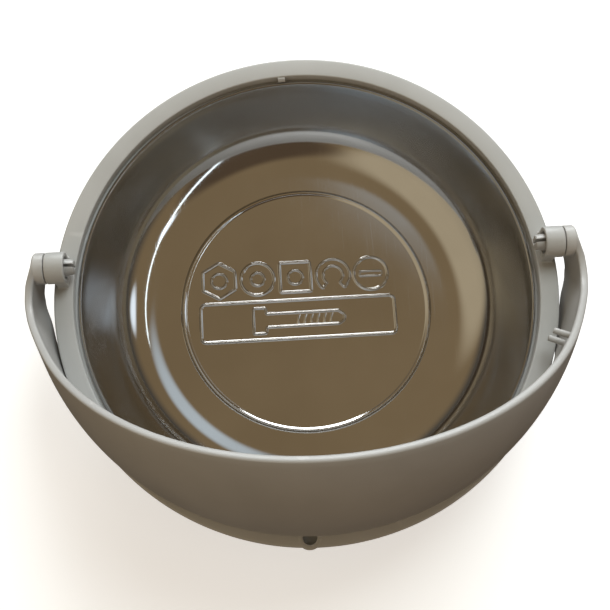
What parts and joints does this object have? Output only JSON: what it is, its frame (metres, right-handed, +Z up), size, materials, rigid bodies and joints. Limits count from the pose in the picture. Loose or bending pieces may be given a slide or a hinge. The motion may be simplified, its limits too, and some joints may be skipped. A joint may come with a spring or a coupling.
{
  "type": "parts sorting tray",
  "caption": "Polished steel dish in a moulded ring on a magnetic rubber foot, with a wide curved bail that swings over it on two side bosses.",
  "frame": {"origin": "centre of the flat underside of the rubber foot, on the axis of the dish", "axes": "+X along the bail's hinge axis, +Y from the resting bail towards the open back edge, +Z up out of the dish"},
  "size_m": [0.1788, 0.1652, 0.099],
  "materials": {
    "polished_steel": "mirror polished stainless sheet with faint handling scratches",
    "ring_plastic": "light warm grey moulded plastic, satin",
    "bail_plastic": "light warm grey moulded plastic, smooth satin",
    "ferrite": "dark sintered ferrite",
    "plate_steel": "plain steel disc",
    "black_rubber": "matt black rubber",
    "zinc_steel": "zinc plated steel",
    "bush_plastic": "natural moulded nylon"
  },
  "bodies": {
    "tray": {"dish": "polished_steel", "holder_ring": "ring_plastic", "ring_magnet": "ferrite", "backing_plate": "plate_steel", "rubber_foot": "black_rubber", "weld_stud": "zinc_steel", "centring_bush": "bush_plastic", "washer": "zinc_steel", "lock_nut": "zinc_steel"},
    "bail": {"bail": "bail_plastic"}
  },
  "joints": [
    {"name": "bail_swing", "type": "hinge", "parent": "tray", "child": "bail", "pos_m": [0, 0.0095, 0.0464], "axis": [-1, 0, 0], "range_deg": [0, 172]}
  ]
}
